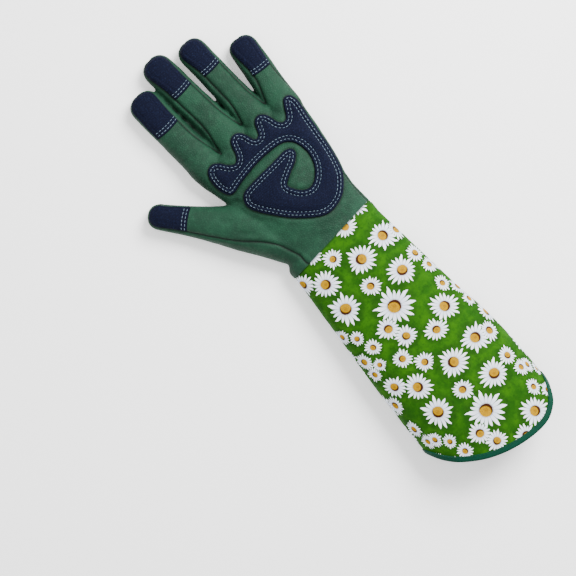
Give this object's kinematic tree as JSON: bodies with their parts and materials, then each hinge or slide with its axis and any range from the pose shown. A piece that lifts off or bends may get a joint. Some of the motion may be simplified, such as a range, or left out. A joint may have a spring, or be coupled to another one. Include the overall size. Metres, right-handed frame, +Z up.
{
  "type": "rose pruning gauntlet",
  "caption": "Left rose pruning glove with a long daisy print gauntlet, green leather palm and fingers, navy fingertip patches and a padded palm",
  "frame": {"origin": "under the middle of the glove's box, on the surface it lies on", "axes": "+Y along the hand to the fingertips, +Z up out of the palm, +X to the little finger's side"},
  "size_m": [0.1704, 0.4236, 0.0452],
  "materials": {
    "green_leather": "soft matt grain, slightly mottled",
    "dark_leather": "smooth matt",
    "navy_fabric": "coarse woven, matt, twin stitched",
    "daisy_print": "printed woven cloth with white daisies, slight sheen, grey lining",
    "binding_tape": "ribbed bias tape",
    "hook_and_loop": "fine black hooks"
  },
  "bodies": {
    "root": {"palm_panel": "green_leather", "thumb_back": "green_leather", "fourchette_index_middle": "green_leather", "fourchette_middle_ring": "green_leather", "fourchette_ring_little": "green_leather", "little_side_strip": "green_leather", "index_cap": "green_leather", "middle_cap": "green_leather", "ring_cap": "green_leather", "little_cap": "green_leather", "knuckle_band": "dark_leather", "index_patch": "navy_fabric", "middle_patch": "navy_fabric", "ring_patch": "navy_fabric", "little_patch": "navy_fabric", "thumb_patch": "navy_fabric", "palm_pad": "navy_fabric", "back_panel": "daisy_print", "cuff_palm": "daisy_print", "cuff_back": "daisy_print", "strap_tab": "daisy_print", "hem_binding": "binding_tape", "strap_binding": "binding_tape", "hook_patch": "hook_and_loop"}
  },
  "joints": []
}
